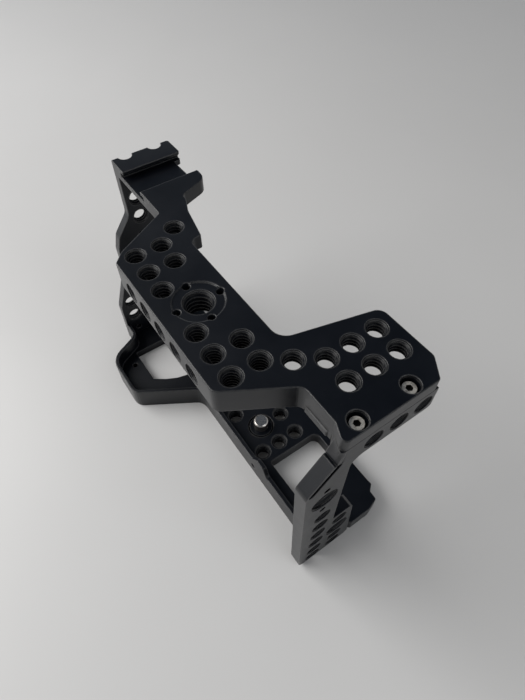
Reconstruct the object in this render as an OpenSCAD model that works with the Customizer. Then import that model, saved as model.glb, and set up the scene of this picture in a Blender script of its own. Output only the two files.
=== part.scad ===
// Camera cage: a top frame with a grip arm, a side plate and a base plate round a camera body.
// The origin is on the camera screw's axis at the seat face, with +X to the port side, +Y to the
// camera's back and +Z up. Sizes are in millimetres.

/* [Camera space] */
// Clear height from the seat to the underside of the top bar
clear_h = 78.8; // [74:0.1:90]
// From the camera screw's axis to the inner face of the side plate
side_reach = 50.6; // [50:0.1:58]
// From the camera screw's axis to the inner face of the grip arm
arm_reach = 82.1; // [80:0.1:92]

/* [Threads] */
// Pitch of the grid of quarter-inch holes
pitch = 9; // [8.6:0.1:9.6]
// Major diameter of the quarter-inch threads
small_d = 6.35; // [5.5:0.05:6.6]
// Major diameter of the three-eighths threads
large_d = 9.525; // [8.5:0.025:9.8]
// Width of the countersink round a threaded hole
rim_w = 0.28; // [0.1:0.02:0.4]

/* [Top bar and head] */
// Thickness of the bar and the head
top_t = 10; // [9:0.1:12]
// Front face of the bar, in front of the camera screw
bar_front = 31.5; // [30:0.1:34]
// Back face of the bar, in front of the camera screw
bar_back = 7.05; // [5:0.05:8]
// Left end of the bar's front face, from the camera screw
bar_left = 33; // [31:0.1:36]
// Right end of the bar's front face, from the camera screw
bar_right = 24.8; // [23:0.1:27]
// Front face of the head, in front of the camera screw
head_front = 11.3; // [10:0.1:12.5]
// Back face of the head, behind the camera screw
head_back = 23.6; // [22.5:0.1:26]
// Sideways run of the head's slanted flanks
flank_run = 12; // [8:0.1:14]

/* [Locating socket] */
// Diameter of the shallow ring round the top socket
ring_d = 16; // [15:0.1:18]
// Depth of that ring
ring_depth = 0.5; // [0.3:0.1:1.5]
// Diameter of the locating pin holes
pin_d = 2.4; // [1.8:0.1:2.8]
// Depth of the locating pin holes
pin_depth = 3; // [2:0.1:4]

/* [Link and cold shoe] */
// Thickness of the link and the cold shoe
link_t = 5.5; // [5:0.1:7]
// Front face of the shoe and of the arm, in front of the camera screw
shoe_front = 8.9; // [8:0.1:10]
// Back face of the shoe's outer rail, behind the camera screw
shoe_back = 15.4; // [14.5:0.1:18]
// Gap between the lips of the shoe
shoe_gap = 14.3; // [12.7:0.1:15]
// Width of the slot under the lips
shoe_slot_w = 18.6; // [18:0.1:19]
// Height of the slot under the lips
shoe_slot_h = 2; // [1.8:0.1:2.2]
// Thickness of the lips
shoe_lip_t = 1.4; // [1:0.1:1.8]

/* [Grip arm] */
// Thickness of the grip arm
arm_t = 4; // [3.5:0.1:5]
// Back edge of the grip arm, behind the camera screw
arm_back = 14; // [12.5:0.1:15]
// Front edge of the arm's foot, in front of the camera screw
arm_foot_front = 24.2; // [22:0.1:26]
// Reach of the arm's foot tab under the base plate
foot_reach = 7; // [6.5:0.1:8]

/* [Side plate] */
// Thickness of the side plate
side_t = 4.8; // [4.5:0.1:6]
// Thickness of the head's lip above the side plate
lap_t = 5; // [4.6:0.1:5.5]
// Height of the strip that laps under the head
strip_h = 9.5; // [9:0.1:11]
// How far the strip reaches in past the plate's inner face
strip_in = 1.3; // [0.8:0.1:1.6]
// Front edge of the plate where its slanted part ends
side_front = 23.2; // [22:0.1:25]
// Front edge of the plate at its foot
side_foot_front = 20.9; // [20:0.1:23]
// Back edge of the neck, in front of the camera screw
neck_back = 8.6; // [7.5:0.1:9.5]
// Height of the shelf that juts back from the plate, above the seat
shelf_z = 27.3; // [26:0.1:30]
// Back edge of the plate at the shelf, behind the camera screw
shelf_back = 0.4; // [0:0.1:1.2]
// Back edge of the plate at its foot, behind the camera screw
foot_back = 2.9; // [1.5:0.1:3.5]

/* [Base plate] */
// Thickness of the base plate under the seat
base_t = 6.5; // [6.2:0.1:8]
// Front face of the base plate, in front of the camera screw
base_front = 13.2; // [12.6:0.1:14]
// Back face of the base plate, behind the camera screw
base_back = 21.6; // [20.5:0.1:24]
// Height of the lip along the front, above the seat
lip_h = 4.8; // [3:0.1:6]
// Thickness of that lip
lip_t = 1.9; // [1.5:0.1:2.4]
// Height of the raised stretch of the lip, above the seat
tab_h = 8.4; // [7:0.1:11]
// Foremost edge of the lobe under the grip
lobe_front = 39.3; // [38:0.1:41]
// Depth of the lobe's floor below the seat
lobe_drop = 2.5; // [1:0.1:3]
// Thickness of the lobe's rim
rim_t = 1.6; // [1.4:0.1:3]
// Spacing of the seat's holes from front to back
seat_pitch = 8.5; // [8:0.1:9]

/* [Joint screws] */
// Thread of the screws that join the plates
joint_d = 2.5; // [2:0.1:2.8]
// Diameter of the countersunk heads
flat_d = 4.7; // [4.4:0.1:5]
// Length of a countersunk screw, head included
flat_l = 5; // [4.6:0.1:5.4]
// Diameter of the cap heads
cap_d = 4; // [3.8:0.1:4.6]
// Height of the cap heads
cap_h = 2.2; // [2:0.1:2.6]
// Diameter of the counterbores for the cap heads
cap_bore = 5.4; // [5:0.1:6]
// Depth of a cap head's top below the head's face
cap_sink = 1.6; // [1:0.1:1.8]
// Length of a joint screw under its cap head
cap_l = 5; // [4.5:0.1:5.2]
// Width across the flats of the hexagon sockets
hex_w = 1.9; // [1.5:0.1:2.2]
// Thickness of the foot tabs under the base plate
foot_t = 3; // [2.8:0.1:3.2]

/* [Camera screw] */
// Diameter of the screw's slotted head
screw_head_d = 12; // [11:0.1:12.5]
// Height of the slotted head
screw_head_h = 2.6; // [2.2:0.1:2.8]
// Height of the screw's tip above the seat
tip_h = 4.8; // [4:0.1:5.5]
// Thickness of the web that holds the screw
web_t = 1.2; // [1:0.1:1.6]
// Thickness of the captive washer
washer_t = 0.8; // [0.6:0.1:1]
// Outer diameter of the captive washer
washer_d = 10; // [9:0.1:10.4]

/* [Hidden] */
$fn = 64;

// Clearances: round shanks, heads in their counterbores, cuts past a face
shank_gap = 0.05;
head_gap = 0.35;
tip_gap = 0.3;
bore_gap = 0.15;
over = 1;

// Heights of the main faces above the seat
top_z = clear_h + top_t;
link_z = top_z - link_t;
lap_z = top_z - lap_t;
strip_z = lap_z - strip_h;

// Planes across the object
side_out = side_reach + side_t;
seam_x = side_reach - strip_in;
arm_in = -arm_reach;
arm_out = -arm_reach - arm_t;

// Stations of the top grid, which is centred on the locating socket
socket_x = -pitch / 2;
socket_back_shift = 1;
socket_y = -(bar_front + bar_back) / 2 + socket_back_shift;
row_front_step = 0.73 * pitch;
row_back_step = 0.29 * pitch;
row_front_y = socket_y - row_front_step;
row_back_y = socket_y + row_back_step;
head_row_y = -0.63;
head_col_x = 33.1;
// Extra room on both sides of the locating socket
socket_room = 1;

// Radius to the locating pins round a large socket
pin_inset = 0.6;
pin_r = ring_d / 2 - pin_inset;

// ---- helpers ----

function unit(v) = v / norm(v);

// Angle turned through, in degrees, from direction a to direction b
function turn(a, b) = atan2(a.x * b.y - a.y * b.x, a.x * b.x + a.y * b.y);

// One rounded corner: points of the arc that touches both sides of the corner
function corner_arc(last, here, next, r) =
    let (
        into = unit([here.x - last.x, here.y - last.y]),
        away = unit([next.x - here.x, next.y - here.y]),
        bend = turn(into, away),
        cut = r * abs(tan(bend / 2)),
        steps = max(1, ceil(abs(bend) / 12)),
        start = [here.x, here.y] - cut * into,
        normal = sign(bend) * [-into.y, into.x],
        hub = start + r * normal
    )
    r == 0 || abs(bend) < 0.5 ? [[here.x, here.y]] :
    [for (i = [0 : steps])
        let (a = bend * i / steps, spoke = start - hub)
        hub + [spoke.x * cos(a) - spoke.y * sin(a), spoke.x * sin(a) + spoke.y * cos(a)]];

// An outline through corners given as [x, y, corner radius]
function rounded(corners) =
    let (n = len(corners))
    [for (i = [0 : n - 1])
        each corner_arc(corners[(i + n - 1) % n], corners[i], corners[(i + 1) % n], corners[i][2])];

// Plate with its outline in X and Y, from z0 up to z1
module flat_plate(corners, z0, z1) {
    translate([0, 0, z0])
        linear_extrude(z1 - z0) polygon(rounded(corners));
}

// Plate with its outline in Y and Z, from x0 up to x1
module upright_plate(corners, x0, x1) {
    translate([x0, 0, 0]) rotate([90, 0, 90])
        linear_extrude(x1 - x0) polygon(rounded(corners));
}

// Bore with a countersunk rim at both mouths, along +Z from 0 to depth
module threaded_bore(d, depth, through = true) {
    translate([0, 0, through ? -over : 0]) cylinder(d = d, h = depth + (through ? 2 : 1) * over);
    translate([0, 0, depth - rim_w]) cylinder(d1 = d, d2 = d + 2 * rim_w + 2 * over, h = rim_w + over);
    if (through)
        translate([0, 0, -over]) cylinder(d1 = d + 2 * rim_w + 2 * over, d2 = d, h = rim_w + over);
}

// Four locating pin holes round a socket, mouths at z = 0 and depths down
module pin_holes() {
    for (a = [0 : 90 : 270])
        rotate([0, 0, a]) translate([pin_r, 0, -pin_depth])
            cylinder(d = pin_d, h = pin_depth + over, $fn = 32);
}

// ---- top frame ----

// How far the head's end comes forward of its front face
head_splay = 2.5;

// Outline of the bar and the head, anticlockwise from the bar's front left corner
bar_corners = [
    [-bar_left, -bar_front, 1.5],
    [bar_right, -bar_front, 3],
    [bar_right + flank_run, -head_front, 3],
    [seam_x, -head_front, 0],
    [side_out, -head_front - head_splay, 1.6],
    [side_out, head_back - 4.4, 1.5],
    [seam_x - 0.3, head_back, 2],
    [28.2, head_back, 3.5],
    [20.4, -bar_back, 5],
    [-44, -bar_back, 0],
    [-47.2, -shoe_front, 0],
    [-36.8, -bar_front + 3.7, 3]];

// Outline of the hollow under the head, open to the back and to both sides
head_hollow = [
    [21.5, -head_front - 1.1, 2],
    [33.8, -head_front - 1.1, 3],
    [35.4, -head_front + 2.1, 3],
    [seam_x + over, -head_front + 2.1, 0],
    [seam_x + over, head_back + over, 0],
    [19, head_back + over, 0]];

// Low ledge along the foot of the head's front face, seen from the side as [y, z]
ledge_ends = [38.4, 47.6];
ledge_out = 0.4;
ledge_h = 2.7;
ledge_corners = [
    [-head_front + over, clear_h, 0],
    [-head_front + over, clear_h + ledge_h, 0],
    [-head_front, clear_h + ledge_h, 0],
    [-head_front - ledge_out, clear_h + ledge_h - ledge_out, 0],
    [-head_front - ledge_out, clear_h, 0]];

// Outline of the link and the cold shoe, with the ear behind the inner rail
link_corners = [
    [-40, -18, 0],
    [-47.2, -shoe_front, 2],
    [arm_out, -shoe_front, 0.6],
    [arm_out, shoe_back, 1],
    [arm_in + 5.9, shoe_back, 1.2],
    [arm_in + 5.9, shoe_back - 2.8, 0],
    [arm_in + 18.8, shoe_back - 2.8, 0],
    [arm_in + 19.5, shoe_back - 0.4, 2.5],
    [arm_in + 26.3, shoe_back - 0.9, 4.5],
    [arm_in + 30.5, 2.8, 2.2],
    [arm_in + 33.2, 2.8, 4],
    [arm_in + 39.1, 0.2, 4],
    [-29.3, -2.7, 0.6],
    [-29.2, -bar_back, 2.5],
    [-23.7, -bar_back, 0],
    [-23.7, -12, 0]];

// Front and back edges of the grip arm, as [y, z]
arm_corners = [
    [-shoe_front, top_z, 0],
    [arm_back, top_z, 0],
    [arm_back, -base_t, 2],
    [-arm_foot_front, -base_t, 0],
    [-arm_foot_front, 17.2, 8],
    [-17.2, 37.5, 10],
    [-17.2, 50, 8],
    [-15.4, 56.8, 5],
    [-shoe_front, 65.2, 5]];

// Foot of the arm from front to back, and its screws
arm_foot_ys = [-6, 8];

// Row of holes in the bar's front face: its middle, its step, its drop below the top and its depth
front_row_x = -5.7;
front_row_step = 1.04 * pitch;
front_row_drop = 6.1;
front_row_depth = 6;

// Row of holes in the side plate under the head
end_row_y = -1.8;
end_row_z = lap_z - 5;

shoe_mid_x = arm_in + 13.1;
shoe_floor_z = top_z - shoe_lip_t - shoe_slot_h;
notch_r = 2.7;

// Places of the quarter-inch holes seen from above
top_holes = [
    for (i = [-3, -2, -1, 1, 2, 3]) [socket_x + i * pitch + sign(i) * socket_room, row_front_y],
    for (i = [-3, -2, 2, 3]) [socket_x + i * pitch + sign(i) * socket_room, row_back_y],
    [socket_x - 3.7 * pitch, row_back_y + 0.83 * pitch]];

// Places of the holes in the thinner plate of the head
head_holes = [
    [head_col_x - 0.52 * pitch, head_row_y - 0.85 * pitch],
    for (i = [0, 1], j = [0 : 2]) [head_col_x + i * pitch, head_row_y + j * pitch]];

module shoe_slot() {
    translate([shoe_mid_x - shoe_gap / 2, -shoe_front - over, shoe_floor_z])
        cube([shoe_gap, shoe_front + shoe_back + 2 * over, top_z - shoe_floor_z + over]);
    translate([shoe_mid_x - shoe_slot_w / 2, -shoe_front - over, shoe_floor_z])
        cube([shoe_slot_w, shoe_front + shoe_back + 2 * over, shoe_slot_h]);
}

// Half-round notches in the outer rail
module rail_notches() {
    for (y = [-3.2, 9.2])
        translate([arm_out, y, link_z - over]) cylinder(r = notch_r, h = link_t + 2 * over);
}

module arm() {
    upright_plate(arm_corners, arm_out, arm_in);
    translate([arm_in - over, arm_foot_ys[0], -base_t])
        cube([foot_reach + over, arm_foot_ys[1] - arm_foot_ys[0], foot_t]);
}

// Places of the arm's holes, as [y, z]
arm_hole_places = [
    for (k = [0, 1]) [-3.9, 72.1 - k * pitch],
    for (k = [0, 1]) [-18.7, 18.9 - k * pitch]];

// Places and depth of the arm's shallow holes, on its inner face
arm_dimples = [[-5.6, 54.5], [-18.7, 0.9]];
dimple_depth = 2;

module arm_holes() {
    for (p = arm_hole_places)
        translate([arm_out, p.x, p.y]) rotate([0, 90, 0]) threaded_bore(small_d, arm_t);
    for (p = arm_dimples)
        translate([arm_in - dimple_depth, p.x, p.y]) rotate([0, 90, 0])
            cylinder(d = joint_d, h = dimple_depth + over, $fn = 32);
}

// Places of the joint screws
top_screw_x = side_out - 3.4;
top_screw_ys = [end_row_y - pitch / 2, end_row_y + 3 * pitch / 2];
side_screw_x = side_reach - foot_reach / 2;
side_screw_ys = [-8.2, -2.2];
arm_screw_x = arm_in + foot_reach / 2;
arm_screw_ys = [-3, 5];
cap_seat_z = top_z - cap_sink - cap_h;

module top_frame() {
    color([0.09, 0.09, 0.10]) difference() {
        union() {
            flat_plate(bar_corners, clear_h, top_z);
            flat_plate(link_corners, link_z, top_z);
            upright_plate(ledge_corners, ledge_ends[0], ledge_ends[1]);
            arm();
        }
        shoe_slot();
        rail_notches();
        arm_holes();
        // Lap for the side plate's strip
        translate([seam_x, -head_front - 10, clear_h - over])
            cube([side_out - seam_x + over, head_front + head_back + 20, lap_z - clear_h + over]);
        flat_plate(head_hollow, clear_h - over, link_z);
        for (p = top_holes) translate([p.x, p.y, clear_h]) threaded_bore(small_d, top_t);
        for (p = head_holes) translate([p.x, p.y, link_z]) threaded_bore(small_d, link_t);
        translate([socket_x, socket_y, clear_h]) {
            threaded_bore(large_d, top_t - ring_depth);
            translate([0, 0, top_t - ring_depth]) cylinder(d = ring_d, h = ring_depth + over);
            translate([0, 0, top_t]) pin_holes();
        }
        // Row of holes in the bar's front face
        for (i = [-2 : 2])
            translate([front_row_x + i * front_row_step, 0, top_z - front_row_drop])
                translate([0, -bar_front + front_row_depth, 0]) rotate([90, 0, 0])
                    threaded_bore(small_d, front_row_depth, false);
        // Counterbored holes for the cap screws
        for (y = top_screw_ys) translate([top_screw_x, y, 0]) {
            translate([0, 0, lap_z - over]) cylinder(d = joint_d + 2 * shank_gap, h = lap_t + over);
            translate([0, 0, cap_seat_z]) threaded_bore(cap_bore, cap_sink + cap_h, false);
        }
        foot_screw_holes(arm_screw_x, arm_screw_ys);
    }
}

// Countersunk holes through a foot tab, from below
module foot_screw_holes(x, ys) {
    for (y = ys) translate([x, y, -base_t]) {
        translate([0, 0, -over]) cylinder(d = joint_d + 2 * shank_gap, h = foot_t + 2 * over);
        translate([0, 0, -over])
            cylinder(d1 = flat_d + 2 * over, d2 = joint_d, h = (flat_d - joint_d) / 2 + over);
    }
}

// ---- side plate ----

// Front edge of the plate under the head, and the chamfer at the shelf's end
side_top_front = -head_front - head_splay;
shelf_chamfer = 1.1;
// Back end of the strip, and the front of the foot tab
strip_back = 20.4;
side_foot_y = -11;

side_corners = [
    [side_top_front, lap_z, 0],
    [side_top_front, lap_z - 5, 3],
    [-side_front, 67, 4],
    [-side_foot_front, -base_t, 3.5],
    [foot_back - 1.6, -base_t, 0],
    [foot_back, -base_t + 1.6, 0],
    [shelf_back, shelf_z - shelf_chamfer, 0],
    [shelf_back - shelf_chamfer, shelf_z, 0],
    [-neck_back, shelf_z, 1.5],
    [-neck_back, strip_z - 1.5, 4],
    [-neck_back + 3.6, strip_z, 4],
    [strip_back, strip_z, 1.5],
    [strip_back, lap_z, 0]];

// The plate's two columns of holes and the height of their top hole
side_front_col_y = -14.5;
side_back_col_y = -5;
side_top_hole_z = 40.5;
// Height of the lowest holes, which just stay clear of the plate's bottom edge
side_low_wall = 0.1;
side_low_z = small_d / 2 + rim_w + side_low_wall - base_t;

// Height over which the plate's upper front corner is flush with the head
flush_h = 6.3;

// Groove along the slanted part of the front edge, as [y, z] of its two ends
edge_groove = [[-13.15, 76.75], [-21.2, 67.15]];
groove_w = 2.1;
groove_depth = 1;

side_holes = [
    for (i = [0 : 4]) [side_front_col_y, side_top_hole_z - i * pitch],
    for (i = [2, 4]) [side_back_col_y, side_top_hole_z - i * pitch],
    [side_front_col_y, side_low_z], [side_back_col_y, side_low_z]];

side_socket = [-15.4, 55.7];

// Round-ended groove in the outer face
module edge_groove_cut() {
    run = edge_groove[1] - edge_groove[0];
    translate([side_out - groove_depth, edge_groove[0].x, edge_groove[0].y])
        rotate([atan2(run.y, run.x), 0, 0]) rotate([90, 0, 90]) {
            translate([0, -groove_w / 2, 0]) cube([norm(run), groove_w, groove_depth + over]);
            for (x = [0, norm(run)])
                translate([x, 0, 0]) cylinder(d = groove_w, h = groove_depth + over, $fn = 32);
        }
}

module side_plate() {
    color([0.16, 0.16, 0.17]) difference() {
        union() {
            upright_plate(side_corners, side_reach, side_out);
            translate([seam_x, -head_front, strip_z])
                cube([strip_in + over, head_front + strip_back, strip_h]);
            translate([side_reach - foot_reach, side_foot_y, -base_t])
                cube([foot_reach + over, shelf_back - side_foot_y, foot_t]);
        }
        // Upper front corner cut flush with the head
        translate([0, 0, lap_z - flush_h]) linear_extrude(flush_h + over) difference() {
            translate([seam_x - over, side_top_front - over]) square([side_out, head_splay + over]);
            polygon(rounded(bar_corners));
        }
        edge_groove_cut();
        for (p = side_holes)
            translate([side_reach, p.x, p.y]) rotate([0, 90, 0]) threaded_bore(small_d, side_t);
        translate([side_reach, side_back_col_y, side_top_hole_z - 3 * pitch]) rotate([0, 90, 0])
            threaded_bore(large_d, side_t);
        translate([side_reach, side_socket.x, side_socket.y]) rotate([0, 90, 0]) {
            threaded_bore(large_d, side_t);
            for (a = [0, 180])
                rotate([0, 0, a]) translate([pin_r, 0, side_t - pin_depth])
                    cylinder(d = pin_d, h = pin_depth + over, $fn = 32);
        }
        for (i = [0 : 2])
            translate([seam_x, end_row_y + i * pitch, end_row_z]) rotate([0, 90, 0])
                threaded_bore(small_d, side_t + strip_in);
        for (y = top_screw_ys)
            translate([top_screw_x, y, cap_seat_z - cap_l - tip_gap])
                cylinder(d = joint_d + 2 * shank_gap, h = cap_l + over);
        foot_screw_holes(side_screw_x, side_screw_ys);
    }
}

// ---- base plate ----

// Outer edge of the base along the lobe and the front, from the grip arm to the side plate
front_edge = [
    [arm_in, -arm_foot_front, 0],
    [arm_in + 7.1, -arm_foot_front, 4],
    [arm_in + 14.4, -lobe_front, 9.5],
    [-44.5, -lobe_front, 5.5],
    [-28.5, -base_front, 6],
    [side_reach, -base_front, 0]];

base_corners = concat(front_edge, [
    [side_reach, foot_back + 0.3, 0],
    [side_out - 1.6, foot_back + 0.5, 0.8],
    [side_out, foot_back + 1.9, 0.6],
    [side_out, 14, 1.5],
    [side_out - 1.6, base_back - 2.4, 1.2],
    [side_out - 5.4, base_back - 2.2, 1],
    [side_out - 7.5, base_back + 0.4, 1],
    [side_out - 10.6, base_back, 1],
    [-28, base_back, 5],
    [-36, arm_back, 5],
    [arm_in, arm_back, 0]]);

// A corner moved inwards, where the sides before and after it move by t0 and t1
function inset_corner(last, here, next, t0, t1) =
    let (
        a = unit([here.x - last.x, here.y - last.y]),
        b = unit([next.x - here.x, next.y - here.y]),
        p = [here.x - t0 * a.y, here.y + t0 * a.x],
        q = [here.x - t1 * b.y, here.y + t1 * b.x],
        run = ((q.x - p.x) * b.y - (q.y - p.y) * b.x) / (a.x * b.y - a.y * b.x)
    )
    [p.x + run * a.x, p.y + run * a.y];

// Inner side of the rim, from the front lip round to the grip arm
rim_inside = [for (i = [4 : -1 : 1])
    let (
        t1 = i == 4 ? lip_t : rim_t,
        r = front_edge[i][2] + (i == 1 || i == 4 ? rim_t : -rim_t),
        p = inset_corner(front_edge[i - 1], front_edge[i], front_edge[i + 1], rim_t, t1)
    )
    [p.x, p.y, r]];

// Rim of the lobe, from the grip arm to a little way along the front lip
rim_end_x = -18;
rim_corners = concat(
    [for (i = [0 : 4]) front_edge[i]],
    [[rim_end_x, -base_front, 0], [rim_end_x, -base_front + lip_t, 0]],
    rim_inside,
    [[arm_in, -arm_foot_front + rim_t, 0]]);

// Sunken floor of the lobe, open towards the grip arm
lobe_back = -9;
lobe_floor = concat(
    [for (i = [3 : -1 : 1]) rim_inside[i]],
    [[rim_inside[0].x, rim_inside[0].y, 0.5],
    [rim_inside[0].x, lobe_back, 0.5],
    [arm_in - over, lobe_back, 0],
    [arm_in - over, -arm_foot_front + rim_t, 0]]);

// The front lip seen from the front, with its raised tab
lip_profile = [
    [rim_end_x - 1, 0, 0],
    [side_reach, 0, 0],
    [side_reach, lip_h - 0.8, 0],
    [22.5, lip_h - 0.8, 2],
    [20.4, tab_h, 1.5],
    [15.8, tab_h, 1.5],
    [12.8, lip_h, 2],
    [rim_end_x - 1, lip_h, 0]];

battery_door = [
    [arm_in + 12.1, -27, 0.6],
    [-51.4, -27, 0.6],
    [-47.9, -22.1, 4],
    [-45.5, -17.4, 4],
    [-44.2, -12.2, 4],
    [-44.2, 7, 3],
    [arm_in + 12.1, 7, 3]];

port_window = [
    [16.5, -6.4, 0.6],
    [38.5, -6.4, 0.6],
    [38.5, 17.9, 3],
    [16.5, 17.9, 3]];

// Room for a foot tab under the base, its hole for each joint screw included
module foot_pocket(x, y0, y1, screw_x, screw_ys) {
    translate([x, y0 - head_gap, -base_t - over])
        cube([foot_reach + 2 * head_gap, y1 - y0 + 2 * head_gap, foot_t + over]);
    for (y = screw_ys)
        translate([screw_x, y, -base_t])
            cylinder(d = joint_d + 2 * shank_gap, h = flat_l + tip_gap);
}

// Places of the seat's holes, seen from above
seat_mid_y = 2.1;
seat_col_x = 10.8;
seat_holes = [
    for (i = [-1, 1], j = [-1, 1]) [i * seat_col_x, seat_mid_y + j * seat_pitch],
    [seat_col_x, seat_mid_y],
    [0, seat_mid_y + seat_pitch]];

// Strap hole of the lobe, and the stop screw's hole in the front face with its depth
strap_hole = [arm_in + 18.4, -30.7];
stop_hole = [13, -1.5];
stop_depth = 4;
pinhole_d = 2.2;

web_bottom = -base_t + screw_head_h + head_gap;
web_top = web_bottom + web_t;

module base_plate() {
    color([0.12, 0.12, 0.13]) difference() {
        union() {
            flat_plate(base_corners, -base_t, 0);
            flat_plate(rim_corners, -0.5, lip_h);
            translate([0, -base_front + lip_t, 0]) rotate([90, 0, 0])
                linear_extrude(lip_t) polygon(rounded(lip_profile));
        }
        flat_plate(lobe_floor, -lobe_drop, lip_h + over);
        flat_plate(battery_door, -base_t - over, over);
        flat_plate(port_window, -base_t - over, over);
        // Holes of the seat
        for (p = seat_holes) translate([p.x, p.y, -base_t]) threaded_bore(small_d, base_t);
        // Room for the camera screw's head, its web and the captive washer
        translate([0, 0, -base_t - over])
            cylinder(d = screw_head_d + 3 * head_gap, h = web_bottom + base_t + over);
        translate([0, 0, -base_t]) cylinder(d = small_d + 2 * bore_gap, h = base_t);
        translate([0, 0, web_top]) cylinder(d = washer_d + 3 * head_gap, h = base_t);
        // Strap hole of the lobe and the stop screw hole in the front face
        translate([strap_hole.x, strap_hole.y, -base_t - over])
            cylinder(d = pinhole_d, h = base_t + 2 * over, $fn = 32);
        translate([stop_hole.x, -base_front - over, stop_hole.y]) rotate([-90, 0, 0])
            cylinder(d = pinhole_d, h = stop_depth + over, $fn = 32);
        // Pockets under the base for the feet of the arm and the side plate
        foot_pocket(arm_in - 2 * head_gap, arm_foot_ys[0], arm_foot_ys[1], arm_screw_x, arm_screw_ys);
        foot_pocket(side_reach - foot_reach - head_gap, side_foot_y, shelf_back, side_screw_x, side_screw_ys);
    }
}

// ---- fasteners ----

// Hexagonal key socket, mouth at z = 0, open upwards
module key_socket(w, depth) {
    translate([0, 0, -depth]) cylinder(d = w / cos(30), h = depth + over, $fn = 6);
}

module cap_screw() {
    difference() {
        union() {
            translate([0, 0, -cap_l]) cylinder(d = joint_d, h = cap_l);
            cylinder(d = cap_d, h = cap_h);
        }
        translate([0, 0, cap_h]) key_socket(hex_w, 0.55 * cap_h);
    }
}

// Countersunk screw with its head's face at z = 0 and its tip up
module flat_screw() {
    difference() {
        union() {
            cylinder(d = joint_d, h = flat_l);
            cylinder(d1 = flat_d - 2 * shank_gap, d2 = joint_d, h = (flat_d - joint_d) / 2 - shank_gap);
        }
        rotate([180, 0, 0]) key_socket(0.75 * hex_w, 1);
    }
}

module top_joint_screws() {
    color("silver") for (y = top_screw_ys) translate([top_screw_x, y, cap_seat_z]) cap_screw();
}

module side_joint_screws() {
    color("silver") for (y = side_screw_ys) translate([side_screw_x, y, -base_t]) flat_screw();
}

module arm_joint_screws() {
    color("silver") for (y = arm_screw_ys) translate([arm_screw_x, y, -base_t]) flat_screw();
}

neck_d = 5;
groove_d = 4.3;
washer_top = -0.2;
washer_bottom = washer_top - washer_t;
tip_chamfer = 0.6;
// Coin slot across the screw's head
coin_w = 1.2;
coin_depth = 1.4;
// How far the head's face is sunk in the base plate, and a level inside the head
head_face_z = -base_t + head_gap;
head_core_z = head_face_z + screw_head_h / 2;

module camera_screw() {
    color("silver") difference() {
        union() {
            translate([0, 0, head_face_z]) cylinder(d = screw_head_d, h = screw_head_h - bore_gap);
            translate([0, 0, head_core_z]) cylinder(d = groove_d, h = tip_h / 2 - head_core_z);
            translate([0, 0, head_core_z])
                cylinder(d = neck_d, h = washer_bottom - shank_gap - head_core_z);
            translate([0, 0, washer_top + shank_gap])
                cylinder(d = small_d, h = tip_h - tip_chamfer - washer_top - shank_gap);
            translate([0, 0, tip_h - tip_chamfer])
                cylinder(d1 = small_d, d2 = small_d - 2 * tip_chamfer, h = tip_chamfer);
        }
        translate([-screw_head_d, -coin_w / 2, head_face_z - over])
            cube([2 * screw_head_d, coin_w, coin_depth + over]);
    }
}

module captive_washer() {
    color("dimgray") translate([0, 0, washer_bottom]) difference() {
        cylinder(d = washer_d, h = washer_t);
        translate([0, 0, -over]) cylinder(d = groove_d + 2 * shank_gap, h = washer_t + 2 * over);
    }
}

top_frame();
side_plate();
base_plate();
top_joint_screws();
side_joint_screws();
arm_joint_screws();
camera_screw();
captive_washer();
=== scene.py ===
"""Camera cage: satin black anodised plates with cut threads and steel screws.

It stands on a pale table in soft light.
"""

from math import cos, pi, radians, sin

import bmesh
import bpy
from mathutils import Matrix, Vector


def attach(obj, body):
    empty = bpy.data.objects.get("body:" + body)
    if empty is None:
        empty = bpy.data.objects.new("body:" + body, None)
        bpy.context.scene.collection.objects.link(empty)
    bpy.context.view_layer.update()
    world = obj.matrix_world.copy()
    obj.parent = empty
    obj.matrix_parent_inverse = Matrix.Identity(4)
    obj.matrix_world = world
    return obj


bl_info = {
    "name": "Camera cage",
    "version": (1, 0, 0),
    "blender": (4, 5, 0),
    "location": "3D View > Sidebar > Camera cage",
    "description": "Finishes, threads and a studio stage for a camera cage",
    "category": "Object",
}

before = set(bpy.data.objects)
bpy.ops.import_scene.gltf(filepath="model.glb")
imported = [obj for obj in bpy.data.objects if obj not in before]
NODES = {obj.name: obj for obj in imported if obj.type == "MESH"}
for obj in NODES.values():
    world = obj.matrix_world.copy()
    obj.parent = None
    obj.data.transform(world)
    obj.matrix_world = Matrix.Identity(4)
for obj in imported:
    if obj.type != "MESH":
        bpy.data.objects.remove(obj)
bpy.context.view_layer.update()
MM = 0.001

# Directions out of a hole's mouth
UP = (0, 0, 1)
FRONT = (0, -1, 0)
PORT = (1, 0, 0)
GRIP = (-1, 0, 0)

# Main faces, in millimetres in the frame of the part's source
TOP_Z = 88.8
BAR_UNDER_Z = 78.8
BAR_FRONT_Y = -31.5
BASE_BOTTOM_Z = -6.5
SIDE_IN_X = 50.6
SIDE_OUT_X = 55.4
SEAM_X = 49.3
ARM_IN_X = -82.1
ARM_OUT_X = -86.1
LINK_T = 5.5

# Holes: the grid they stand on, the bores' radii and their countersunk rims
GRID = 9.0
SMALL_R = 3.175
LARGE_R = 4.7625
RIM = 0.28
EDGE_LEFT = 0.1
RING_DEPTH = 0.5
CAP_SINK = 1.6

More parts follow.
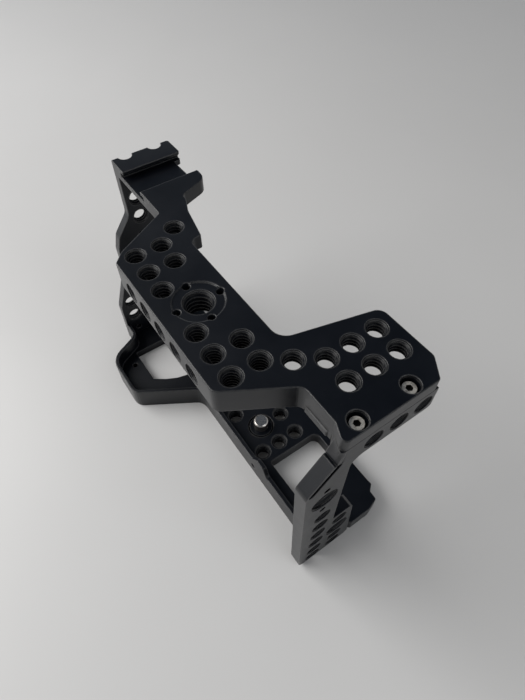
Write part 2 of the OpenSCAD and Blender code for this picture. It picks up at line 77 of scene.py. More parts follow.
# Places of the holes that the grid starts from
SOCKET_X, SOCKET_Y = -GRID / 2, -18.275
BAR_ROW_FRONT, BAR_ROW_BACK = 0.73 * GRID, 0.29 * GRID
BAR_END_X, BAR_END_Y = 3.7 * GRID, 0.83 * GRID
HEAD_X, HEAD_Y = 33.1, -0.63
HEAD_FIRST_X, HEAD_FIRST_Y = 0.52 * GRID, 0.85 * GRID
FRONT_MID_X, FRONT_DROP, FRONT_PITCH, FRONT_DEPTH = -5.7, 6.1, 1.04 * GRID, 6.0
SIDE_OUTER_Y, SIDE_INNER_Y, SIDE_TOP_Z = -14.5, -5.0, 40.5
SIDE_SOCKET_Y, SIDE_SOCKET_Z = -15.4, 55.7
SIDE_LOW_Z = SMALL_R + RIM + EDGE_LEFT + BASE_BOTTOM_Z
END_Y, END_DROP = -1.8, 10
ARM_ROWS = ((-3.9, 72.1), (-18.7, 18.9))
SEAT_X, SEAT_Y, SEAT_PITCH = 10.8, 2.1, 8.5

# A thread ridge: its steps, its foot and crest as shares of the pitch, and how it meets the wall
STEPS_PER_TURN = 32
FOOT_SHARE, CREST_SHARE = 0.46, 0.06
ROOT_SINK, FOOT_STAND = 0.05, 0.02
LIP_SHARE = 0.9
BLIND_END, FADE_TURNS = 0.5, 0.35

# The ramp under the head's end corner: its foot on the side plate and its brow under the corner
BLEND_STEPS, FOOT_PARTS, BROW_PARTS = 8, 8, 6
BLEND_BELOW, BLEND_ABOVE = 11.3, 5.3
BLEND_THICK, BLEND_BACK_Y = 1.2, -11.0
BLEND_INSET = 0.05
FOOT_Y, FOOT_END_Y = -14.05, -13.75
BROW_START_Y, BROW_RUN, BROW_LEAN, BROW_SINK = -11.83, 4.1, 1.68, 0.04
BROW_TURN = (SIDE_OUT_X - 0.25, -13.2)
BROW_END = (SIDE_OUT_X - BLEND_INSET, -12.7)


# ---- places of the threaded holes: mouth, direction out of the mouth, length ----

def top_small_holes():
    """The bar's two rows beside the socket, its end hole, and the head's block."""
    front, back = SOCKET_Y - BAR_ROW_FRONT, SOCKET_Y + BAR_ROW_BACK
    places = []
    for i in (-3, -2, -1, 1, 2, 3):
        side = 1 if i > 0 else -1
        places.append((SOCKET_X + i * GRID + side, front))
        if abs(i) > 1:
            places.append((SOCKET_X + i * GRID + side, back))
    places.append((SOCKET_X - BAR_END_X, back + BAR_END_Y))
    head = [(HEAD_X - HEAD_FIRST_X, HEAD_Y - HEAD_FIRST_Y)]
    head += [(HEAD_X + i * GRID, HEAD_Y + j * GRID) for i in range(2) for j in range(3)]
    holes = [((x, y, TOP_Z), UP, TOP_Z - BAR_UNDER_Z) for x, y in places]
    return holes + [((x, y, TOP_Z), UP, LINK_T) for x, y in head]


def top_large_holes():
    mouth_z = TOP_Z - RING_DEPTH
    return [((SOCKET_X, SOCKET_Y, mouth_z), UP, TOP_Z - BAR_UNDER_Z - RING_DEPTH)]


def bar_front_holes():
    return [
        ((FRONT_MID_X + i * FRONT_PITCH, BAR_FRONT_Y, TOP_Z - FRONT_DROP), FRONT, FRONT_DEPTH)
        for i in range(-2, 3)
    ]


def side_holes(places):
    """Holes through the side plate's thickness."""
    return [((SIDE_OUT_X, y, z), PORT, SIDE_OUT_X - SIDE_IN_X) for y, z in places]


def side_small_holes():
    """The side plate's two rows, its lowest pair, and the three through the head's end."""
    places = [(SIDE_OUTER_Y, SIDE_TOP_Z - i * GRID) for i in range(5)]
    places += [(SIDE_INNER_Y, SIDE_TOP_Z - k * GRID) for k in (2, 4)]
    places += [(SIDE_OUTER_Y, SIDE_LOW_Z), (SIDE_INNER_Y, SIDE_LOW_Z)]
    ends = [(SIDE_OUT_X, END_Y + i * GRID, TOP_Z - END_DROP) for i in range(3)]
    return side_holes(places) + [(mouth, PORT, SIDE_OUT_X - SEAM_X) for mouth in ends]


def side_large_holes():
    return side_holes([(SIDE_SOCKET_Y, SIDE_SOCKET_Z), (SIDE_INNER_Y, SIDE_TOP_Z - 3 * GRID)])


def arm_small_holes():
    places = [(y, z - k * GRID) for y, z in ARM_ROWS for k in range(2)]
    return [((ARM_OUT_X, y, z), GRIP, ARM_IN_X - ARM_OUT_X) for y, z in places]


def base_small_holes():
    """The four corners of the seat's pattern, and the two between them."""
    places = [(i * SEAT_X, SEAT_Y + j * SEAT_PITCH) for i in (-1, 1) for j in (-1, 1)]
    places += [(SEAT_X, SEAT_Y), (0.0, SEAT_Y + SEAT_PITCH)]
    return [((x, y, 0.0), UP, -BASE_BOTTOM_Z) for x, y in places]


# ---- mesh helpers ----

def millimetre_object(name, bm):
    """Turns a bmesh drawn in millimetres into a smooth object in metres."""
    bmesh.ops.transform(bm, matrix=Matrix.Scale(MM, 4), verts=bm.verts)
    mesh = bpy.data.meshes.new(name)
    bm.to_mesh(mesh)
    bm.free()
    mesh.polygons.foreach_set("use_smooth", [True] * len(mesh.polygons))
    mesh.set_sharp_from_angle(angle=radians(34))
    obj = bpy.data.objects.new(name, mesh)
    bpy.context.scene.collection.objects.link(obj)
    return obj


def skin_rings(bm, rings):
    """Joins rings of vertices into a closed solid, capped at both ends."""
    corners = len(rings[0])
    for a, b in zip(rings, rings[1:]):
        for k in range(corners):
            bm.faces.new((a[k], a[(k + 1) % corners], b[(k + 1) % corners], b[k]))
    bm.faces.new(rings[0])
    bm.faces.new(list(reversed(rings[-1])))


def sweep_ridge(bm, mouth, out, length, wall_r, pitch, height, blind):
    """Adds one right-handed helical ridge in a bore, cut back by the cones at its mouths."""
    half_foot = FOOT_SHARE * pitch
    half_crest = CREST_SHARE * pitch
    root, foot = wall_r + ROOT_SINK, wall_r - FOOT_STAND
    near = RIM - half_foot
    far = length - (BLIND_END if blind else near)
    count = int((far - near) / pitch * STEPS_PER_TURN)
    axis = Vector(out)
    across = axis.orthogonal().normalized()
    beside = axis.cross(across)
    fade = STEPS_PER_TURN * FADE_TURNS
    lip = LIP_SHARE * RIM
    rings = []
    for i in range(count + 1):
        turn = -2 * pi * i / STEPS_PER_TURN
        grow = min(1.0, (count - i) / fade) if blind else 1.0
        crest = wall_r - height * grow
        profile = (
            (root, -half_foot), (foot, -half_foot), (crest, -half_crest),
            (crest, half_crest), (foot, half_foot), (root, half_foot),
        )
        spoke = across * cos(turn) + beside * sin(turn)
        ring = []
        for r, shift in profile:
            depth = near + pitch * i / STEPS_PER_TURN + shift
            depth = min(max(depth, lip), length - (0.0 if blind else lip))
            from_mouth = depth if blind else min(depth, length - depth)
            cone = wall_r + RIM - from_mouth
            ring.append(bm.verts.new(Vector(mouth) + spoke * max(r, cone) - axis * depth))
        rings.append(ring)
    skin_rings(bm, rings)


def machined_piece(name, bm, skin):
    """Ends a piece that is cut in a plate: normals outwards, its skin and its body."""
    bmesh.ops.recalc_face_normals(bm, faces=bm.faces)
    obj = millimetre_object(name, bm)
    obj.data.materials.append(bpy.data.materials[skin])
    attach(obj, "frame")


def cut_threads(name, holes, wall_r, pitch, height, blind=False):
    """Makes one piece of all the thread ridges of like holes in a plate."""
    bm = bmesh.new()
    for mouth, out, length in holes:
        sweep_ridge(bm, mouth, out, length, wall_r, pitch, height, blind)
    machined_piece(name, bm, "anodised_thread")


def corner_blend():
    """The machined ramp that carries the head's end corner down to the side plate's front edge."""
    low, high = TOP_Z - BLEND_BELOW, TOP_Z - BLEND_ABOVE
    side_t = SIDE_OUT_X - SIDE_IN_X
    foot = [(SIDE_IN_X + side_t * k / FOOT_PARTS, FOOT_Y) for k in range(FOOT_PARTS)]
    foot.append((SIDE_OUT_X - BLEND_INSET, FOOT_END_Y))
    shares = [k / BROW_PARTS for k in range(BROW_PARTS + 1)]
    brow = [(SIDE_IN_X + BROW_RUN * t, BROW_START_Y - BROW_LEAN * t) for t in shares]
    brow += [BROW_TURN, BROW_END]
    bm = bmesh.new()
    rows = []
    for step in range(BLEND_STEPS + 1):
        rise = step / BLEND_STEPS
        blend = rise * rise * (3 - 2 * rise)
        z = low + (high - low) * rise
        row = []
        for (x0, y0), (x1, y1) in zip(foot, brow):
            y = y0 + (y1 + BROW_SINK - y0) * blend
            row.append(bm.verts.new((x0 + (x1 - x0) * blend, y, z)))
        back = [
            bm.verts.new((v.co.x, min(v.co.y + BLEND_THICK, BLEND_BACK_Y), v.co.z))
            for v in reversed(row)
        ]
        rows.append(row + back)
    skin_rings(bm, rows)
    machined_piece("corner_blend", bm, "anodised_side_plate")


# ---- materials ----

DUST = (0.06, 0.06, 0.06)
# Painted shade: the colour put into the steel's recesses and on the floor of a cap screw's hex
# socket
PAINTED_RECESS_SHADE = (0.012, 0.011, 0.010)
SOCKET_PAINTED_SHADE = (0.010, 0.009, 0.008)
# How far off a wall the steel's recesses are painted in shade, in metres, and how patchily the
# rubbed and painted-highlight edges break up
RECESS_SHADE_REACH = 0.0007
PATCHY = 0.09


class Shader:
    """A node material with a Principled surface, built node by node."""

    def __init__(self, name):
        self.material = bpy.data.materials.new(name)
        self.material.use_nodes = True
        self.tree = self.material.node_tree
        self.tree.nodes.clear()
        self.surface = self.add("ShaderNodeBsdfPrincipled")
        output = self.add("ShaderNodeOutputMaterial")
        self.join(self.surface, "BSDF", output, "Surface")
        self.place = self.add("ShaderNodeTexCoord")

    def add(self, kind, **values):
        node = self.tree.nodes.new(kind)
        for key, value in values.items():
            setattr(node, key, value)
        return node

    def join(self, source, out_name, target, in_name):
        self.tree.links.new(source.outputs[out_name], target.inputs[in_name])

    def set(self, **values):
        for key, value in values.items():
            self.surface.inputs[key.replace("_", " ")].default_value = value

    def noise(self, scale, detail=3.0, roughness=0.5, stretch=(1, 1, 1)):
        mapping = self.add("ShaderNodeMapping")
        mapping.inputs["Scale"].default_value = stretch
        node = self.add("ShaderNodeTexNoise")
        node.inputs["Scale"].default_value = scale
        node.inputs["Detail"].default_value = detail
        node.inputs["Roughness"].default_value = roughness
        self.join(self.place, "Object", mapping, "Vector")
        self.join(mapping, "Vector", node, "Vector")
        return node

    def ramp(self, source, out_name, stops):
        node = self.add("ShaderNodeValToRGB")
        ramp = node.color_ramp
        while len(ramp.elements) < len(stops):
            ramp.elements.new(0.5)
        for element, (at, colour) in zip(ramp.elements, stops):
            element.position = at
            shade = colour if hasattr(colour, "__len__") else (colour,) * 3
            element.color = (*shade, 1.0)
        self.join(source, out_name, node, "Fac")
        return node

    def bump(self, source, out_name, strength, distance, edge_radius=0.0):
        node = self.add("ShaderNodeBump")
        if edge_radius:
            rounded = self.add("ShaderNodeBevel", samples=6)
            rounded.inputs["Radius"].default_value = edge_radius
            self.join(rounded, "Normal", node, "Normal")
        node.inputs["Strength"].default_value = strength
        node.inputs["Distance"].default_value = distance
        self.join(source, out_name, node, "Height")
        self.join(node, "Normal", self.surface, "Normal")

    def openness(self, distance, stops, samples):
        """A ramp over how open a place is to its surroundings."""
        recess = self.add("ShaderNodeAmbientOcclusion", samples=samples)
        recess.inputs["Distance"].default_value = distance
        return self.ramp(recess, "AO", stops)


def blend_colours(shader, factor, first, second):
    """A Mix node of two colours or two colour outputs."""
    mix = shader.add("ShaderNodeMix", data_type="RGBA")
    shader.tree.links.new(factor, mix.inputs[0])
    for socket, value in ((mix.inputs[6], first), (mix.inputs[7], second)):
        if hasattr(value, "__len__"):
            socket.default_value = (*value[:3], 1.0)
        else:
            shader.tree.links.new(value, socket)
    return mix.outputs[2]


def edge_wear_and_highlight(shader, radius, low, high):
    """Lightness along edges, broken up by noise: partly the dyed skin rubbed thin, partly a
    painted highlight where light would roll round the edges.
    """
    rounded = shader.add("ShaderNodeBevel", samples=4)
    rounded.inputs["Radius"].default_value = radius
    geometry = shader.add("ShaderNodeNewGeometry")
    facing = shader.add("ShaderNodeVectorMath", operation="DOT_PRODUCT")
    shader.join(rounded, "Normal", facing, 0)
    shader.join(geometry, "Normal", facing, 1)
    patches = shader.noise(420.0, 4.0, 0.6)
    worn_and_lit = shader.add("ShaderNodeMath", operation="MULTIPLY_ADD")
    shader.join(patches, "Fac", worn_and_lit, 0)
    worn_and_lit.inputs[1].default_value = -PATCHY
    shader.join(facing, "Value", worn_and_lit, 2)
    return shader.ramp(worn_and_lit, "Value", ((low, 1.0), (high, 0.0)))


def anodised(name, look, gloss_level):
    """Satin black anodised aluminium: fine blasted grain, faint smudges, rubbed edges that also
    carry a painted highlight, and painted shade in the reflections of recesses.
    """
    shader = Shader(name)
    base = Vector(look.anodise_colour)
    smudges = shader.noise(38.0, 5.0, 0.62)
    tone = shader.ramp(smudges, "Fac", ((0.34, base * 0.80), (0.66, base * 1.24)))
    specks = shader.noise(2600.0, 2.0, 0.5)
    dust = shader.ramp(specks, "Fac", ((0.735, 0.0), (0.80, 1.0)))
    dusty = blend_colours(shader, dust.outputs["Color"], tone.outputs["Color"], DUST)
    # Edge wear mixed with a painted highlight: the edges are lightened where light would catch
    # them
    wear_and_highlight = edge_wear_and_highlight(shader, 0.00045, 0.86, 0.935)
    worn_and_lit = blend_colours(shader, wear_and_highlight.outputs["Color"], dusty, Vector(look.wear_and_highlight_colour))
    shader.tree.links.new(worn_and_lit, shader.surface.inputs["Base Color"])
    rough = look.anodise_roughness
    gloss = shader.ramp(smudges, "Fac", ((0.30, rough - 0.05), (0.70, rough + 0.06)))
    shader.join(gloss, "Color", shader.surface, "Roughness")
    grain = shader.noise(5200.0, 2.0, 0.6)
    shader.bump(grain, "Fac", 0.10, 0.00002, look.edge_radius)
    # Painted shade: ambient occlusion tints the specular reflection dark in recesses and holes
    painted_reflection_shade = shader.openness(look.reflection_shade_reach, ((0.30, 0.04), (0.85, 1.0)), 8)
    shader.join(painted_reflection_shade, "Color", shader.surface, "Specular Tint")
    shader.set(IOR=1.5, Specular_IOR_Level=gloss_level)
    return shader.material


def steel(name, colour, roughness, dark, stretch, socket_z=None, metallic=1.0):
    """Bare or plated steel with fine turning marks, and painted shade where a recess is.

    Where socket_z is given, all that lies below it is painted dark, as the shade on the floor of a
    hex socket.
    """
    shader = Shader(name)
    colour = Vector(colour)
    grime = shader.noise(700.0, 4.0, 0.65)
    tone = shader.ramp(grime, "Fac", ((0.36, colour * dark), (0.58, colour)))
    # Painted shade: ambient occlusion darkens the colour within a fraction of a millimetre of a
    # wall
    recess_shade = shader.openness(RECESS_SHADE_REACH, ((0.22, 1.0), (0.46, 0.0)), 6)
    painted_shade_tone = blend_colours(shader, recess_shade.outputs["Color"], tone.outputs["Color"], PAINTED_RECESS_SHADE)
    # Painted shade: below socket_z the colour is the dark of a hex socket's shaded floor
    if socket_z is not None:
        split = shader.add("ShaderNodeSeparateXYZ")
        shader.join(shader.place, "Object", split, "Vector")
        below = shader.add("ShaderNodeMath", operation="LESS_THAN")
        shader.join(split, "Z", below, 0)
        below.inputs[1].default_value = socket_z
        painted_shade_tone = blend_colours(shader, below.outputs["Value"], painted_shade_tone, SOCKET_PAINTED_SHADE)
    shader.tree.links.new(painted_shade_tone, shader.surface.inputs["Base Color"])
    lines = shader.noise(2400.0, 3.0, 0.6, stretch)
    gloss = shader.ramp(lines, "Fac", ((0.3, roughness - 0.07), (0.7, roughness + 0.09)))
    shader.join(gloss, "Color", shader.surface, "Roughness")
    shader.bump(lines, "Fac", 0.16, 0.00002)
    shader.set(Metallic=metallic)
    return shader.material


def lacquered_table(name, colour):
    """The table top: pale, smooth and a little glossy, with the faintest mottling."""
    shader = Shader(name)
    colour = Vector(colour)
    clouds = shader.noise(3.0, 4.0, 0.6)
    tone = shader.ramp(clouds, "Fac", ((0.30, colour * 0.975), (0.70, colour * 1.02)))
    shader.join(tone, "Color", shader.surface, "Base Color")
    gloss = shader.ramp(clouds, "Fac", ((0.3, 0.30), (0.7, 0.36)))
    shader.join(gloss, "Color", shader.surface, "Roughness")
    shader.set(Specular_IOR_Level=0.35)
    return shader.material


# Points this close in metres are one, and faces that turn less than this in degrees are flat
WELD_WITHIN, FLAT_WITHIN = 0.000002, 0.4


def dress(node, material):
    """Puts a material in every slot of a CAD node's object."""
    obj = NODES[node]
    for material_slot in obj.material_slots:
        material_slot.material = material


def ease_edges(node, width, angle, clamp=False):
    """Breaks a CAD node's sharp edges with a small bevel, without touching its mesh."""
    obj = NODES[node]
    weld = obj.modifiers.new("weld", "WELD")
    weld.merge_threshold = WELD_WITHIN
    flat = obj.modifiers.new("flat", "DECIMATE")
    flat.decimate_type = "DISSOLVE"
    flat.angle_limit = radians(FLAT_WITHIN)
    bevel = obj.modifiers.new("eased", "BEVEL")
    bevel.width = width
    bevel.segments = 2
    bevel.limit_method = "ANGLE"
    bevel.angle_limit = radians(angle)
    bevel.use_clamp_overlap = clamp
    normals = obj.modifiers.new("normals", "WEIGHTED_NORMAL")
    normals.keep_sharp = True


# ---- settings ----

class CageThreads(bpy.types.PropertyGroup):
    """Threads and eased edges"""
    small_pitch: bpy.props.FloatProperty(
        name="Quarter-inch pitch", description="Pitch of the quarter-inch threads",
        default=0.00127, min=0.0008, max=0.002, unit="LENGTH", precision=5)
    small_height: bpy.props.FloatProperty(
        name="Quarter-inch ridge",
        description="How far the quarter-inch ridges stand in from the bore",
        default=0.00062, min=0.0003, max=0.0009, unit="LENGTH", precision=5)
    large_pitch: bpy.props.FloatProperty(
        name="Three-eighths pitch", description="Pitch of the three-eighths threads",
        default=0.0015875, min=0.001, max=0.0025, unit="LENGTH", precision=5)
    large_height: bpy.props.FloatProperty(
        name="Three-eighths ridge",
        description="How far the three-eighths ridges stand in from the bore",
        default=0.00078, min=0.0004, max=0.0012, unit="LENGTH", precision=5)
    edge_width: bpy.props.FloatProperty(
        name="Eased edge", description="Width of the bevel along the plates' sharp edges",
        default=0.0003, min=0.00005, max=0.0006, unit="LENGTH", precision=5)


class CageFinish(bpy.types.PropertyGroup):
    """Colours and gloss of the cage"""
    anodise_colour: bpy.props.FloatVectorProperty(
        name="Anodise", description="Colour of the dyed anodised skin",
        default=(0.0032, 0.0040, 0.0062), min=0.0, max=1.0, subtype="COLOR")
    # Partly the colour of edge wear, partly a painted highlight along the edges
    wear_and_highlight_colour: bpy.props.FloatVectorProperty(
        name="Rubbed edge", description="Colour of the skin where an edge has rubbed thin",
        default=(0.07, 0.07, 0.07), min=0.0, max=1.0, subtype="COLOR")
    anodise_roughness: bpy.props.FloatProperty(
        name="Anodise roughness", description="Roughness of the satin skin",
        default=0.33, min=0.1, max=0.9, subtype="FACTOR")
    anodise_gloss: bpy.props.FloatProperty(
        name="Anodise gloss", description="Specular level of the satin skin",
        default=0.44, min=0.0, max=1.0, subtype="FACTOR")
    thread_gloss: bpy.props.FloatProperty(
        name="Thread gloss", description="Specular level of the cut threads",
        default=0.17, min=0.0, max=1.0, subtype="FACTOR")
    edge_radius: bpy.props.FloatProperty(
        name="Soft edge", description="Radius over which light rolls round the plates' edges",
        default=0.00032, min=0.0, max=0.001, unit="LENGTH", precision=5)
    # Painted shade: how far from a wall the skin's reflections are tinted dark
    reflection_shade_reach: bpy.props.FloatProperty(
        name="Recess reach", description="How far off a wall still shelters the skin from light",
        default=0.012, min=0.0, max=0.05, unit="LENGTH", precision=4)
    joint_colour: bpy.props.FloatVectorProperty(
        name="Joint screws", description="Colour of the nickel-plated joint screws",
        default=(0.86, 0.81, 0.73), min=0.0, max=1.0, subtype="COLOR")
    screw_colour: bpy.props.FloatVectorProperty(
        name="Camera screw", description="Colour of the turned camera screw",
        default=(0.66, 0.62, 0.58), min=0.0, max=1.0, subtype="COLOR")


class CageStage(bpy.types.PropertyGroup):
    """Table, lamps, room and camera"""
    table_colour: bpy.props.FloatVectorProperty(
        name="Table", description="Colour of the table top",
        default=(0.572, 0.574, 0.579), min=0.0, max=1.0, subtype="COLOR")
    room_strength: bpy.props.FloatProperty(
        name="Room", description="Strength of the even light of the room",
        default=0.30, min=0.0, max=2.0)
    room_colour: bpy.props.FloatVectorProperty(
        name="Room colour", description="Colour of the even light of the room",
        default=(1.0, 0.985, 0.965), min=0.0, max=1.0, subtype="COLOR")
    backdrop_strength: bpy.props.FloatProperty(
        name="Backdrop",
        description="How pale the room looks behind and in reflections, where 1 is white",
        default=0.80, min=0.0, max=1.0)
    backdrop_colour: bpy.props.FloatVectorProperty(
        name="Walls", description="Colour of the room's walls in reflections",
        default=(0.93, 0.96, 1.0), min=0.0, max=1.0, subtype="COLOR")
    wall_height: bpy.props.FloatProperty(
        name="Wall height",
        description="Where the walls begin to darken, as the sine of the angle above the table",
        default=0.12, min=0.0, max=0.6, subtype="FACTOR")
    ceiling_colour: bpy.props.FloatVectorProperty(
        name="Ceiling", description="Colour of the dim ceiling in reflections",
        default=(0.035, 0.055, 0.085), min=0.0, max=1.0, subtype="COLOR")
    key_power: bpy.props.FloatProperty(
        name="Window", description="Power of the large soft lamp",
        default=8.6, min=0.0, max=50.0, unit="POWER")
    fill_power: bpy.props.FloatProperty(
        name="Fill", description="Power of the soft lamp on the other side",
        default=1.2, min=0.0, max=50.0, unit="POWER")
    lens: bpy.props.FloatProperty(
        name="Lens", description="Focal length of the camera",
        default=25.669, min=10.0, max=200.0, unit="CAMERA")


SETTINGS = {"cage_threads": CageThreads, "cage_finish": CageFinish, "cage_stage": CageStage}


# ---- operators ----

# Bevels of the small steel pieces in metres, and the angle in degrees from which an edge has one
SCREW_EDGE, WASHER_EDGE, SCREW_ANGLE = 0.00012, 0.0001, 40
# How far below a cap's face its socket starts, in millimetres
SOCKET_LIP = 0.2


class CAGE_OT_plates(bpy.types.Operator):
    """Gives the top frame, side plate and base plate their black skin and eased edges"""
    bl_idname = "camera_cage.plates"
    bl_label = "Finish the plates"

    def execute(self, context):
        look = context.scene.cage_finish
        width = context.scene.cage_threads.edge_width
        for node in ("top_frame", "side_plate", "base_plate"):
            dress(node, anodised("anodised_" + node, look, look.anodise_gloss))
            ease_edges(node, width, 60, clamp=node == "side_plate")
        anodised("anodised_thread", look, look.thread_gloss)
        corner_blend()
        return {"FINISHED"}


class CAGE_OT_small_threads(bpy.types.Operator):
    """Cuts the quarter-inch threads of the plates, the grip arm and the base"""
    bl_idname = "camera_cage.small_threads"
    bl_label = "Cut the quarter-inch threads"

    def execute(self, context):
        threads = context.scene.cage_threads
        pitch, height = threads.small_pitch / MM, threads.small_height / MM
        for name, holes, slot, blind in (
            ("top_small_threads", top_small_holes(), "anodised_top", False),
            ("bar_front_threads", bar_front_holes(), "anodised_top", True),
            ("arm_threads", arm_small_holes(), "anodised_top", False),
            ("side_small_threads", side_small_holes(), "anodised_side", False),
            ("base_threads", base_small_holes(), "anodised_base", False),
        ):
            cut_threads(name, holes, SMALL_R, pitch, height, blind)
        return {"FINISHED"}


class CAGE_OT_large_threads(bpy.types.Operator):
    """Cuts the three-eighths threads of the locating sockets"""
    bl_idname = "camera_cage.large_threads"
    bl_label = "Cut the three-eighths threads"

    def execute(self, context):
        threads = context.scene.cage_threads
        pitch, height = threads.large_pitch / MM, threads.large_height / MM
        for name, holes, slot in (
            ("top_large_thread", top_large_holes(), "anodised_top"),
            ("side_large_threads", side_large_holes(), "anodised_side"),
        ):
            cut_threads(name, holes, LARGE_R, pitch, height)
        return {"FINISHED"}


class CAGE_OT_joint_screws(bpy.types.Operator):
    """Gives the cap screws and the countersunk joint screws their worn nickel"""
    bl_idname = "camera_cage.joint_screws"
    bl_label = "Finish the joint screws"

    def execute(self, context):
        look = context.scene.cage_finish
        plate = (look.joint_colour, 0.44, 0.45, (1, 1, 0.2))
        nickel = steel("worn_nickel", *plate, metallic=0.7)
        # Below this height the floor of each cap's hex socket is painted in shade
        socket_z = (TOP_Z - CAP_SINK - SOCKET_LIP) * MM
        capped = steel("capped_nickel", *plate, socket_z, metallic=0.7)
        for node in ("top_joint_screws", "side_joint_screws", "arm_joint_screws"):
            dress(node, capped if node == "top_joint_screws" else nickel)
            ease_edges(node, SCREW_EDGE, SCREW_ANGLE, clamp=True)
        return {"FINISHED"}


class CAGE_OT_camera_screw(bpy.types.Operator):
    """Gives the captive camera screw its turned steel and its washer the black skin"""
    bl_idname = "camera_cage.camera_screw"
    bl_label = "Finish the camera screw"

    def execute(self, context):
        look = context.scene.cage_finish
        dress("camera_screw", steel("turned_steel", look.screw_colour, 0.30, 0.62, (1, 1, 4)))
        ease_edges("camera_screw", SCREW_EDGE, SCREW_ANGLE)
        dress("captive_washer", anodised("blackened_steel", look, look.thread_gloss))
        ease_edges("captive_washer", WASHER_EDGE, SCREW_ANGLE)
        return {"FINISHED"}


# The photograph's viewpoint: what the camera looks at, in metres, how far off, and its angles
VIEW_TARGET = (0.02107, -0.01321, 0.0888)
VIEW_DISTANCE = 0.13505
VIEW_AZIMUTH, VIEW_ELEVATION, VIEW_ROLL = 55.622, 53.097, -0.527

# The stage: half the table's width, what the lamps point at, and how soon the walls grow dim
TABLE_REACH = 3.0
LAMP_AIM = (-0.015, 0.0, 0.04)
WINDOW_PLACE, WINDOW_SIZE, WINDOW_COLOUR = (-0.45, -0.50, 0.55), (0.9, 0.6), (1.0, 0.985, 0.96)
FILL_PLACE, FILL_SIZE, FILL_COLOUR = (0.65, 0.15, 0.45), (0.5, 0.5), (0.94, 0.97, 1.0)
WALL_FADE = 0.35


def look_matrix(target, distance, azimuth, elevation, roll):
    """Camera matrix at a distance from target; azimuth 0 looks along +Y and 90 along -X."""
    a, e, r = radians(azimuth), radians(elevation), radians(roll)
    back = Vector((sin(a) * cos(e), -cos(a) * cos(e), sin(e)))
    right = Vector((cos(a), sin(a), 0.0))
    up = back.cross(right)
    right, up = right * cos(r) + up * sin(r), up * cos(r) - right * sin(r)
    turn = Matrix((right, up, back)).transposed().to_4x4()
    return Matrix.Translation(Vector(target) + back * distance) @ turn


def soft_lamp(name, place, size, power, colour):
    """A rectangular lamp that points at the cage."""
    lamp = bpy.data.lights.new(name, "AREA")
    lamp.shape = "RECTANGLE"
    lamp.size, lamp.size_y = size
    lamp.energy = power
    lamp.color = colour
    obj = bpy.data.objects.new(name, lamp)
    obj.location = place
    obj.rotation_euler = (Vector(LAMP_AIM) - Vector(place)).to_track_quat("-Z", "Y").to_euler()
    bpy.context.scene.collection.objects.link(obj)


def even_room(stage):
    """Even world light, and a pale wall under a dim ceiling where the room is seen."""
    world = bpy.data.worlds.new("room")
    world.use_nodes = True
    tree = world.node_tree
    tree.nodes.clear()
    add, join = tree.nodes.new, tree.links.new
    rays = add("ShaderNodeLightPath")
    seen = rays.outputs["Is Camera Ray"]
    for kind in ("Is Glossy Ray", "Is Transmission Ray"):
        either = add("ShaderNodeMath")
        either.operation = "MAXIMUM"
        join(seen, either.inputs[0])
        join(rays.outputs[kind], either.inputs[1])
        seen = either.outputs[0]
    light = add("ShaderNodeBackground")
    light.inputs["Color"].default_value = (*stage.room_colour, 1.0)
    light.inputs["Strength"].default_value = stage.room_strength
    split = add("ShaderNodeSeparateXYZ")
    join(add("ShaderNodeTexCoord").outputs["Generated"], split.inputs[0])
    height = add("ShaderNodeValToRGB")
    wall, ceiling = height.color_ramp.elements
    wall.position = stage.wall_height
    wall.color = (*stage.backdrop_colour, 1.0)
    ceiling.position = stage.wall_height + WALL_FADE
    ceiling.color = (*stage.ceiling_colour, 1.0)
    join(split.outputs["Z"], height.inputs["Fac"])
    pale = add("ShaderNodeBackground")
    join(height.outputs["Color"], pale.inputs["Color"])
    pale.inputs["Strength"].default_value = stage.backdrop_strength
    mix = add("ShaderNodeMixShader")
    for socket, source in zip(mix.inputs, (seen, light.outputs[0], pale.outputs[0])):
        join(source, socket)
    join(mix.outputs[0], add("ShaderNodeOutputWorld").inputs["Surface"])
    bpy.context.scene.world = world


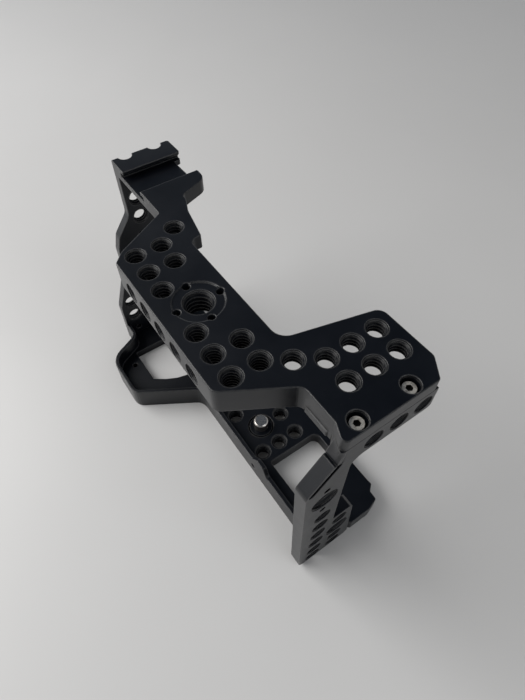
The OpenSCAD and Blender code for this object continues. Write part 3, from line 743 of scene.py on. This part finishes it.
class CAGE_OT_stage(bpy.types.Operator):
    """Lays the pale table, hangs the soft lamps and places the camera"""
    bl_idname = "camera_cage.stage"
    bl_label = "Set the stage"

    def execute(self, context):
        stage = context.scene.cage_stage
        bm = bmesh.new()
        low = BASE_BOTTOM_Z * MM
        corners = ((-1, -1), (1, -1), (1, 1), (-1, 1))
        bm.faces.new([bm.verts.new((x * TABLE_REACH, y * TABLE_REACH, low)) for x, y in corners])
        mesh = bpy.data.meshes.new("table")
        bm.to_mesh(mesh)
        bm.free()
        table = bpy.data.objects.new("table", mesh)
        context.scene.collection.objects.link(table)
        mesh.materials.append(lacquered_table("table_lacquer", stage.table_colour))

        soft_lamp("window", WINDOW_PLACE, WINDOW_SIZE, stage.key_power, WINDOW_COLOUR)
        soft_lamp("fill", FILL_PLACE, FILL_SIZE, stage.fill_power, FILL_COLOUR)
        even_room(stage)

        lens = bpy.data.cameras.new("camera")
        lens.sensor_fit = "AUTO"
        lens.sensor_width = 36.0
        lens.lens = stage.lens
        lens.clip_start = 0.005
        lens.clip_end = 20.0
        camera = bpy.data.objects.new("camera", lens)
        camera.matrix_world = look_matrix(
            VIEW_TARGET, VIEW_DISTANCE, VIEW_AZIMUTH, VIEW_ELEVATION, VIEW_ROLL)
        context.scene.collection.objects.link(camera)
        context.scene.camera = camera
        context.scene.view_settings.view_transform = "Standard"
        return {"FINISHED"}


OPERATORS = (
    CAGE_OT_plates, CAGE_OT_small_threads, CAGE_OT_large_threads, CAGE_OT_joint_screws,
    CAGE_OT_camera_screw, CAGE_OT_stage,
)


class CAGE_PT_panel(bpy.types.Panel):
    """Lists the cage's settings and operators"""
    bl_label = "Camera cage"
    bl_idname = "CAGE_PT_panel"
    bl_space_type = "VIEW_3D"
    bl_region_type = "UI"
    bl_category = "Camera cage"

    def draw(self, context):
        for group in SETTINGS:
            settings = getattr(context.scene, group)
            box = self.layout.box()
            for key in settings.__annotations__:
                box.prop(settings, key)
        for operator in OPERATORS:
            self.layout.operator(operator.bl_idname)


def register():
    for group, kind in SETTINGS.items():
        bpy.utils.register_class(kind)
        setattr(bpy.types.Scene, group, bpy.props.PointerProperty(type=kind))
    for kind in OPERATORS + (CAGE_PT_panel,):
        bpy.utils.register_class(kind)


def unregister():
    for kind in reversed(OPERATORS + (CAGE_PT_panel,)):
        bpy.utils.unregister_class(kind)
    for group, kind in reversed(SETTINGS.items()):
        delattr(bpy.types.Scene, group)
        bpy.utils.unregister_class(kind)


def main():
    register()
    for operator in OPERATORS:
        family, action = operator.bl_idname.split(".")
        getattr(getattr(bpy.ops, family), action)()


if __name__ == "__main__":
    main()
